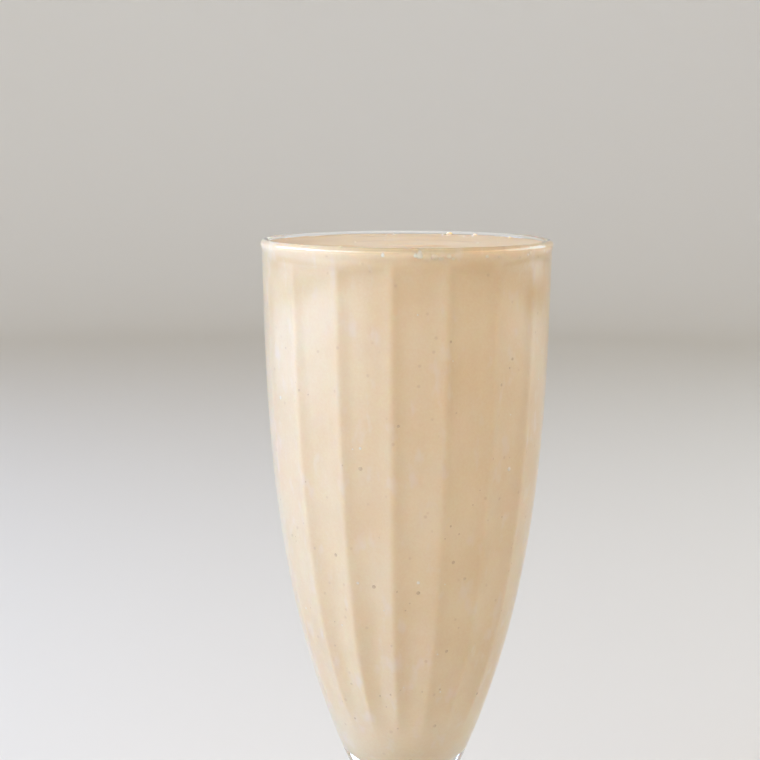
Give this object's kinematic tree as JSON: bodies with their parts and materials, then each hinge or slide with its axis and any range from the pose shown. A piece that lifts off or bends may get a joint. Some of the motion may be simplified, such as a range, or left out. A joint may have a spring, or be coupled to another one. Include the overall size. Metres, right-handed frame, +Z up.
{
  "type": "vanilla milkshake in a footed glass",
  "caption": "Tall footed milkshake glass with a smooth outside and pressed inner flutes, filled almost to the rim with pale vanilla milkshake.",
  "frame": {"origin": "middle of the foot's underside, on the surface the glass stands on", "axes": "+Z up along the glass's axis, -Y towards the front"},
  "size_m": [0.0838, 0.0838, 0.2],
  "materials": {
    "clear_glass": "polished",
    "vanilla_milkshake": "opaque, softly glossy liquid"
  },
  "bodies": {
    "root": {"glass": "clear_glass", "milkshake": "vanilla_milkshake"}
  },
  "joints": []
}
